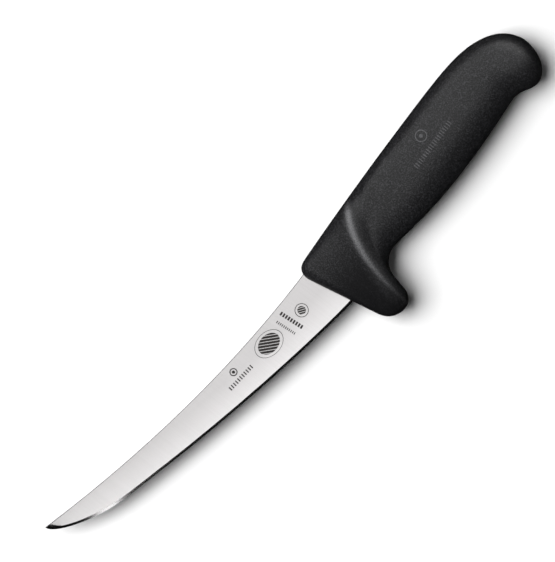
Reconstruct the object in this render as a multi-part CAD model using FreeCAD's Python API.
import FreeCAD, Part
import math
import os

from FreeCAD import Vector

# A curved boning knife, in millimetres. It is designed lying on its side: X runs along the handle from
# the blade (-X) to the butt (+X), Y points to the spine and the back of the handle, Z is the thickness.
# The design zero is where the spine leaves the handle. The finished pieces are moved together at the
# end, so that the origin is the bottom centre of the knife's box.

# ---------------------------------------------------------------------------- blade
blade_length = 149.3        # handle front to tip
spine_sweep = 22.5          # the spine curves up by this much at the tip
spine_sweep_power = 1.9
heel_depth = 23.6           # spine to cutting edge at the heel
heel_taper = 0.142          # loss of depth per mm just in front of the heel
fore_depth = 10.3           # depth that the long taper would reach at the tip
heel_set_back = 4.0         # the edge's heel lies this far inside the spine's exit
tip_run = 28.0              # the edge sweeps up to the tip over this length
tip_power = 1.72
tip_blunt = 0.5             # depth of the blade at the very tip
stock_thickness = 1.6       # steel sheet that the blade is stamped from
tip_thickness = 0.9
spine_chamfer = 0.2
shoulder_thickness = 0.5    # where the flat grind meets the edge bevel
bevel_width = 1.1
root_overlap = 1.0          # the tang's root reaches this far into the ground part

# ---------------------------------------------------------------------------- tang
tang_back_wall = 6.3        # from the back of the handle to the tang
tang_neck_wall = 6.2        # from the tang to the finger curve, where the handle is narrowest
tang_butt_wall = 36.3       # from the tang's end to the butt
tang_root = 5.0             # length of the full-depth root behind the grind
tang_hole_diameter = 7.0
tang_hole_slot = 5.0        # the locking holes are this much longer than wide
tang_hole_count = 3
tang_hole_margin = 12.0     # from the first and last locking holes' centres to the ends of the strip

# ---------------------------------------------------------------------------- handle, side outline
handle_length = 134.3       # from the design zero to the butt's rearmost point
front_lean = 0.187          # the front face runs back by this much per mm of depth
front_offset = -0.7         # the front face's line at the height of the spine
corner_radius = 5.0         # front face to back
shoulder_height = 3.35      # back of the handle above the spine line, just behind the corner
crown_height = 4.9          # highest point of the back
crown_x = 76.0
butt_height = -15.2         # height of the butt's rearmost point
butt_power = 4.2
nose_x = 15.0               # lowest point of the guard
nose_bottom = -42.8
nose_rear_radius = 6.0
guard_rear_lean = 0.205     # the guard's rear face runs back by this much per mm of height
neck_radius = 9.7           # finger curve between guard and grip
neck_height = -23.2
belly_height = -27.5
waist_height = -26.0
waist_to_hook = 12.6
hook_to_butt = 11.2
hook_height = -30.6

# ---------------------------------------------------------------------------- handle, thickness
cap_half = 3.4              # half thickness of the flat front face
front_round = 2.8           # rounding between the front face and the sides
ridge_half = 10.6           # at the crest of the guard ridge
hollow_half = 9.5           # thumb rest behind the ridge
hollow_depth = 1.3          # extra depth of the thumb rest towards the finger curve
palm_half = 10.2
waist_half = 9.6
flare_half = 10.3           # just ahead of the butt

# ---------------------------------------------------------------------------- handle, where it changes
ridge_top_x = 35.0          # where the ridge starts on the back
ridge_foot_angle = 300.0    # where it dies out on the guard's nose
ridge_lead = 12.0           # how far the ridge bows towards the blade
nose_front_angle = 226.0    # the guard's front rounding ends here on the nose
flank_run = 9.0             # the ridge falls to the thumb rest over this length of the back
crown_to_neck = 16.0        # control rows lean: the neck lies across from this far ahead of the crown
waist_lean = 5.5            # and the waist and the hook across from these further forward on the back
hook_lean = 4.1
hollow_start = 0.15         # share of a row where the thumb rest starts to deepen
hollow_run = 0.45
butt_turns = (0, 14, 28, 42, 56, 68, 79)    # control rows round the butt, in degrees
butt_flat = 2.2             # size of the row that flattens the butt's rearmost point
section_steps = 18          # control points from the back to the lower outline

# ---------------------------------------------------------------------------- core of the handle
core_cover = 2.8            # hard plastic over the tang on every side
core_rounding = 2.2
core_start = 9.0            # behind the front of the handle, at the spine
guard_lug_half = 3.4
guard_lug_width = 7.0
guard_lug_wall = 8.5        # outer moulding below the lug
pin_window_diameter = 5.0   # left by the pins that hold the tang in the first mould


def blend(start, end, share):
    return start + (end - start) * share


def smooth(share):
    return share * share * (3.0 - 2.0 * share)


# ============================================================================ blade
def spine_height(ahead):
    """Height of the spine, ahead of the handle by the given length."""
    return spine_sweep * (max(ahead, 0.0) / blade_length) ** spine_sweep_power


def blade_depth(ahead):
    """Spine to edge: a long taper, then the sweep up to the tip."""
    whole = blade_length + heel_set_back
    along = max(ahead + heel_set_back, 0.0)
    end_gain = fore_depth - heel_depth + heel_taper * whole
    depth = heel_depth - heel_taper * along + end_gain * (along / whole) ** 2
    into_tip = max(ahead - (blade_length - tip_run), 0.0) / tip_run
    sweep = max(1.0 - into_tip**tip_power, 0.0) ** (1.0 / tip_power)
    return tip_blunt + (depth - tip_blunt) * sweep


def edge_height(ahead):
    return spine_height(ahead) - blade_depth(ahead)


def edge_slope(ahead):
    """Rise of the cutting edge per mm, measured over a short chord that ends on the blade."""
    chord = 0.4
    fore = min(ahead + 0.5 * chord, blade_length)
    return (edge_height(fore) - edge_height(fore - chord)) / chord


def blade_section(ahead):
    """Closed outline of the ground blade: spine with broken corners, two flats and the edge bevel."""
    top = spine_height(ahead)
    depth = blade_depth(ahead)
    share = max(ahead, 0.0) / blade_length
    half = 0.5 * blend(stock_thickness, tip_thickness, share)
    bevel = min(bevel_width * math.hypot(1.0, edge_slope(ahead)), 0.5 * depth)
    chamfer = min(spine_chamfer, 0.2 * depth)
    shoulder = 0.5 * shoulder_thickness
    low = top - depth
    upper_side = [(top, half - chamfer), (top - chamfer, half), (low + bevel, shoulder)]
    under_side = [(y, -z) for y, z in reversed(upper_side)]
    corners = [Vector(-ahead, y, z) for y, z in upper_side + [(low, 0.0)] + under_side]
    return Part.makePolygon(corners + corners[:1])


def grind_end():
    """The grind ends this far inside the handle, behind the leaning front face."""
    return front_offset + front_lean * heel_depth + front_round


def blade_stations():
    """Places of the blade's sections, closer together towards the tip."""
    sweep_start = blade_length - tip_run
    long_steps = 9
    tip_steps = 12
    long_part = [blend(-grind_end(), sweep_start, i / long_steps) for i in range(long_steps)]
    quarter = 0.5 * math.pi
    tip_part = [sweep_start + tip_run * math.sin(quarter * i / tip_steps) for i in range(tip_steps + 1)]
    return long_part + tip_part


def tang_length():
    return handle_length - tang_butt_wall


def tang_top():
    return shoulder_height - tang_back_wall


def tang_width():
    return tang_top() - neck_height - tang_neck_wall


def tang_middle():
    return tang_top() - 0.5 * tang_width()


def tang_solid():
    """Full-thickness root and tang with a round end and three slotted locking holes."""
    low = edge_height(-grind_end()) + bevel_width
    corner = Vector(grind_end() - root_overlap, low, -0.5 * stock_thickness)
    root = Part.makeBox(tang_root + root_overlap, -low, stock_thickness, corner)
    radius = 0.5 * tang_width()
    strip = slotted_plate(grind_end() + radius, tang_length() - radius, radius)
    tang = root.fuse(strip)
    half_slot = 0.5 * tang_hole_slot
    for x in tang_hole_places():
        tang = tang.cut(slotted_plate(x - half_slot, x + half_slot, 0.5 * tang_hole_diameter))
    return tang


def tang_hole_places():
    """Centres of the locking holes along the tang."""
    first = grind_end() + tang_root + tang_hole_margin
    last = tang_length() - tang_hole_margin
    return [blend(first, last, i / (tang_hole_count - 1)) for i in range(tang_hole_count)]


def slotted_plate(x0, x1, radius):
    """Plate of the steel's thickness along the tang, with round ends about x0 and x1."""
    under = -0.5 * stock_thickness
    bar = Part.makeBox(x1 - x0, 2.0 * radius, stock_thickness, Vector(x0, tang_middle() - radius, under))
    ends = [Part.makeCylinder(radius, stock_thickness, Vector(x, tang_middle(), under)) for x in (x0, x1)]
    return bar.fuse(ends)


def make_blade():
    ground = Part.makeLoft([blade_section(ahead) for ahead in blade_stations()], True, False)
    return ground.fuse(tang_solid()).removeSplitter()


# ============================================================================ handle outline
def polar(centre, radius, angle):
    turn = math.radians(angle)
    return centre + Vector(math.cos(turn), math.sin(turn), 0.0) * radius


def arc(centre, radius, start, end, steps=12):
    return [polar(centre, radius, blend(start, end, i / steps)) for i in range(steps + 1)]


def bezier(points, share):
    """Point on the curve that the given corners pull."""
    while len(points) > 1:
        points = [a + (b - a) * share for a, b in zip(points, points[1:])]
    return points[0]


def spread(points, count):
    """The given number of steps of equal length along a line of points."""
    lengths = [0.0]
    for a, b in zip(points, points[1:]):
        lengths.append(lengths[-1] + (b - a).Length)
    spaced = []
    i = 0
    for step in range(count + 1):
        wanted = lengths[-1] * step / count
        while i < len(points) - 2 and lengths[i + 1] < wanted:
            i += 1
        share = (wanted - lengths[i]) / (lengths[i + 1] - lengths[i])
        spaced.append(points[i] + (points[i + 1] - points[i]) * share)
    return spaced


def tilt(slope):
    """Angle from upright of a line that runs by slope mm in X per mm in Y."""
    return math.degrees(math.atan(slope))


def beside_front(y, distance):
    """Point at the given height and at right angles to the front face, inside it."""
    return Vector(front_offset - front_lean * y + distance * math.hypot(1.0, front_lean), y, 0.0)


def corner_centre():
    return beside_front(shoulder_height - corner_radius, corner_radius)


def nose_front_radius():
    """The nose's front round touches the front face and the guard's lowest point."""
    clear = nose_x - front_offset + front_lean * nose_bottom
    return clear / (math.hypot(1.0, front_lean) - front_lean)


def nose_front(start, end):
    radius = nose_front_radius()
    return arc(Vector(nose_x, nose_bottom + radius, 0.0), radius, start, end)


def nose_rear(start, end):
    return arc(nose_rear_centre(), nose_rear_radius, start, end)


def nose_rear_centre():
    return Vector(nose_x, nose_bottom + nose_rear_radius, 0.0)


def neck_centre():
    """Centre of the finger curve: one radius from the guard's rear face and below the neck."""
    y = neck_height - neck_radius
    nose = nose_rear_centre()
    clear = (nose_rear_radius + neck_radius) * math.hypot(1.0, guard_rear_lean)
    return Vector(nose.x + guard_rear_lean * (y - nose.y) + clear, y, 0.0)


def back_line(x0, x1, steps=12):
    """Back of the handle between the corner and the crown."""
    points = []
    for i in range(steps + 1):
        x = blend(x0, x1, i / steps)
        drop = ((crown_x - x) / (crown_x - corner_centre().x)) ** 2
        points.append(Vector(x, crown_height - (crown_height - shoulder_height) * drop, 0.0))
    return points


def butt_back(angle):
    """Back of the handle behind the crown, from 0 degrees at the crown to 90 at the butt."""
    run = math.sin(math.radians(angle)) ** (2.0 / butt_power)
    rise = math.cos(math.radians(angle))
    x = crown_x + (handle_length - crown_x) * run
    return Vector(x, butt_height + (crown_height - butt_height) * rise, 0.0)


def hook_x():
    return handle_length - hook_to_butt


def waist_x():
    return hook_x() - waist_to_hook


def butt_heel(angle):
    """Lower outline of the butt, from 0 degrees at the hook to 90 at the butt."""
    turn = math.radians(angle)
    x = hook_x() + hook_to_butt * math.sin(turn)
    return Vector(x, butt_height + (hook_height - butt_height) * math.cos(turn), 0.0)


def finger_curve():
    """Lower outline from the ridge's foot round the nose and up the guard to the neck."""
    rear = tilt(guard_rear_lean)
    round_neck = arc(neck_centre(), neck_radius, 180.0 - rear, 90.0 - neck_end_tilt())
    return nose_rear(ridge_foot_angle, 360.0 - rear) + round_neck


def neck_end_tilt():
    """The finger curve runs over the neck until it has the belly's first slope."""
    return math.degrees(math.atan(2.0 * (neck_height - belly_height) / (crown_x - neck_centre().x)))


def belly_line(steps=20):
    """Lower outline from the neck over the belly to the waist."""
    start = polar(neck_centre(), neck_radius, 90.0 - neck_end_tilt())
    points = []
    for i in range(steps + 1):
        x = blend(start.x, waist_x(), i / steps)
        if x < crown_x:
            rise = (start.y - belly_height) * ((crown_x - x) / (crown_x - start.x)) ** 2
        else:
            rise = (waist_height - belly_height) * ((x - crown_x) / (waist_x() - crown_x)) ** 2
        points.append(Vector(x, belly_height + rise, 0.0))
    return points


def hook_line(steps=12):
    """Lower outline from the waist down to the hook."""
    pull = 0.5 * waist_to_hook
    corners = [
        Vector(waist_x(), waist_height, 0.0),
        Vector(waist_x() + pull, waist_height + 0.1 * pull, 0.0),
        Vector(hook_x() - 0.6 * pull, hook_height, 0.0),
        Vector(hook_x(), hook_height, 0.0),
    ]
    return [bezier(corners, i / steps) for i in range(steps + 1)]


# ============================================================================ handle surface
class Form:
    """How the handle swells along one control row, from the back to the lower outline.

    The row bows towards the blade by lead. It is thickest, half to each side, at the share crest of its
    length, and hollow is dug out of it below that. The powers set how full the section is above and
    below the crest: 2 is an ellipse, more is squarer.
    """

    def __init__(self, lead, half, hollow, crest, top_power, low_power):
        self.values = (lead, half, hollow, crest, top_power, low_power)

    def toward(self, other, share):
        return Form(*(blend(a, b, share) for a, b in zip(self.values, other.values)))


def row_points(top, low, form):
    """Control points from the back to the lower outline, over the upper side."""
    lead, half, hollow, crest, top_power, low_power = form.values
    chord = low - top
    ahead = Vector(chord.y, -chord.x, 0.0)
    if ahead.Length > 0.0:
        ahead.normalize()
    pulled = (top + low) * 0.5 + ahead * lead
    points = []
    for i in range(section_steps + 1):
        turn = math.pi * i / section_steps
        power = top_power if 2 * i < section_steps else low_power
        along = abs(math.cos(turn)) ** (2.0 / power)
        reach = crest - crest * along if 2 * i < section_steps else crest + (1.0 - crest) * along
        place = bezier([top, pulled, low], reach)
        dip = hollow * smooth(min(max((reach - hollow_start) / hollow_run, 0.0), 1.0))
        place.z = (half - dip) * math.sin(turn) ** (2.0 / power)
        points.append(place)
    points[-1].z = 0.0
    return points


def stretch(tops, lows, count, start, end, easing):
    """Rows between two named forms, without the last."""
    tops = spread(tops, count)
    lows = spread(lows, count)
    shares = [easing(i / count) for i in range(count)]
    return [row_points(t, b, start.toward(end, s)) for t, b, s in zip(tops, lows, shares)]


def straight(share):
    return share


def front_rows():
    """From the flat front face round its edge. The first row is the flat face's outline."""
    count = 5
    lean = tilt(front_lean)
    tops = spread(arc(corner_centre(), corner_radius, 180.0 + lean, 90.0), count)
    lows = spread(nose_front(180.0 + lean, nose_front_angle), count)
    middle = (tops[0] + lows[0]) * 0.5
    down = lows[0] - tops[0]
    inward = Vector(-down.y, down.x, 0.0).normalize()
    rows = []
    for i in range(count + 1):
        turn = 0.5 * math.pi * i / count
        chord = lows[i] - tops[i]
        ahead = Vector(chord.y, -chord.x, 0.0).normalize()
        deep = middle + inward * front_round * (1.0 - math.cos(turn))
        lead = 2.0 * (deep - (tops[i] + lows[i]) * 0.5).dot(ahead)
        form = Form(lead, cap_half + front_round * math.sin(turn), 0.0, 0.5, 4.0, 4.0)
        rows.append((tops[i], lows[i], form))
    return rows


def handle_rows():
    """All control rows, from the front face to the butt."""
    front = front_rows()
    facet = front[-1][2]
    ridge = Form(ridge_lead, ridge_half, 0.0, 0.35, 3.2, 2.6)
    thumb = Form(0.8 * ridge_lead, hollow_half, hollow_depth, 0.38, 3.2, 2.6)
    neck = Form(0.4 * ridge_lead, hollow_half, 0.5 * hollow_depth, 0.42, 3.1, 2.4)
    palm = Form(0.0, palm_half, 0.0, 0.42, 3.0, 2.2)
    waist = Form(0.0, waist_half, 0.0, 0.42, 2.8, 2.2)
    flare = Form(0.0, flare_half, 0.0, 0.45, 2.5, 2.3)

    foot = nose_front(nose_front_angle, 270.0) + nose_rear(270.0, ridge_foot_angle)[1:]
    finger = spread(finger_curve(), 12)
    belly_fore = [p for p in belly_line() if p.x <= crown_x]
    belly_rear = [p for p in belly_line() if p.x >= belly_fore[-1].x]
    thumb_x = ridge_top_x + flank_run
    neck_x = crown_x - crown_to_neck
    waist_back = waist_x() - waist_lean
    flare_back = hook_x() - hook_lean

    rows = [row_points(*row) for row in front[:-1]]
    rows += stretch(back_line(corner_centre().x, ridge_top_x), foot, 6, facet, ridge, straight)
    rows += stretch(back_line(ridge_top_x, thumb_x), finger[:4], 3, ridge, thumb, smooth)
    rows += stretch(back_line(thumb_x, neck_x), finger[3:], 8, thumb, neck, smooth)
    rows += stretch(back_line(neck_x, crown_x), belly_fore, 5, neck, palm, smooth)
    rows += stretch(rear_back(crown_x, waist_back), belly_rear, 5, palm, waist, smooth)
    rows += stretch(rear_back(waist_back, flare_back), hook_line(), 6, waist, flare, smooth)
    return rows + butt_rows(flare_back, flare)


def butt_angle(x):
    """Angle at which the back behind the crown reaches the given place."""
    share = (x - crown_x) / (handle_length - crown_x)
    return math.degrees(math.asin(share ** (0.5 * butt_power)))


def rear_back(x0, x1, steps=12):
    """Back of the handle between two places behind the crown."""
    return [butt_back(butt_angle(blend(x0, x1, i / steps))) for i in range(steps + 1)]


def butt_rows(start_x, flare):
    """The domed butt, down to its rearmost point."""
    lead, half, hollow, crest, top_power, low_power = flare.values
    round_power = 2.0
    rows = []
    for turn in butt_turns:
        share = turn / 90.0
        top = butt_back(blend(butt_angle(start_x), 90.0, share))
        swell = half * math.cos(math.radians(turn))
        powers = (blend(top_power, round_power, share), blend(low_power, round_power, share))
        rows.append(row_points(top, butt_heel(turn), Form(lead, swell, hollow, crest, *powers)))
    rearmost = Vector(handle_length, butt_height, 0.0)
    up = Vector(0.0, butt_flat, 0.0)
    flat = Form(0.0, butt_flat, 0.0, 0.5, round_power, round_power)
    rows.append(row_points(rearmost + up, rearmost - up, flat))
    rows.append([rearmost] * (section_steps + 1))
    return rows


def closed_row(points):
    """The whole way round: the upper side, then its mirror image back to the start."""
    under = [Vector(p.x, p.y, -p.z) for p in reversed(points[1:-1])]
    return points + under


def make_form():
    """The handle's outer form as one solid: a smooth skin and the flat front face."""
    net = [closed_row(points) for points in handle_rows()]
    around = len(net[0])
    inner_knots = len(net) - 3
    surface = Part.BSplineSurface()
    surface.buildFromPolesMultsKnots(
        net,
        [4] + [1] * (inner_knots - 1) + [4],
        [1] * (around + 1),
        [float(i) for i in range(inner_knots + 1)],
        [float(i) for i in range(around + 1)],
        False,
        True,
        3,
        3,
    )
    skin = surface.toShape()
    rim = [e for e in skin.Edges if not e.Degenerated and e.BoundBox.XMax < nose_x and e.isClosed()]
    cap = Part.Face(Part.Wire(rim[:1]))
    shell = Part.Shell([skin, cap])
    shell.sewShape()
    return Part.Solid(shell)


# ============================================================================ core and skin
def core_bar():
    """Rounded bar round the tang."""
    end = tang_length() + core_cover
    height = tang_width() + 2.0 * core_cover
    half = 0.5 * stock_thickness + core_cover
    corner = Vector(core_start, tang_middle() - 0.5 * height, -half)
    bar = Part.makeBox(end - core_start, height, 2.0 * half, corner)
    return bar.makeFillet(core_rounding, bar.Edges)


def guard_lug():
    """Rounded block that stiffens the guard."""
    low = nose_bottom + guard_lug_wall
    middle = 0.5 * (front_offset - front_lean * low + nose_x + nose_rear_radius)
    corner = Vector(middle - 0.5 * guard_lug_width, low, -guard_lug_half)
    lug = Part.makeBox(guard_lug_width, tang_middle() - low, 2.0 * guard_lug_half, corner)
    return lug.makeFillet(core_rounding, lug.Edges)


def pin_windows():
    """Round windows on both sides of the tang, midway between its locking holes."""
    places = tang_hole_places()
    radius = 0.5 * pin_window_diameter
    half = 0.5 * stock_thickness + core_cover
    middles = [0.5 * (a + b) for a, b in zip(places, places[1:])]
    return [Part.makeCylinder(radius, 2.0 * half, Vector(x, tang_middle(), -half)) for x in middles]


def make_core(blade):
    core = core_bar().fuse(guard_lug())
    return core.cut(pin_windows() + [blade]).removeSplitter()


def make_skin(blade, core):
    return make_form().cut([core, blade])


def seat(shapes):
    """Move the pieces together, so that the box of the whole knife stands on the origin."""
    box = Part.makeCompound(list(shapes.values())).optimalBoundingBox(False, False)
    for shape in shapes.values():
        shape.translate(Vector(-box.Center.x, -box.Center.y, -box.ZMin))


def main():
    blade = make_blade()
    core = make_core(blade)
    shapes = {"blade": blade, "handle_core": core, "handle_skin": make_skin(blade, core)}
    seat(shapes)
    os.makedirs("parts", exist_ok=True)
    for name, shape in shapes.items():
        shape.exportStep(f"parts/{name}.step")


if __name__ == "__main__":
    main()
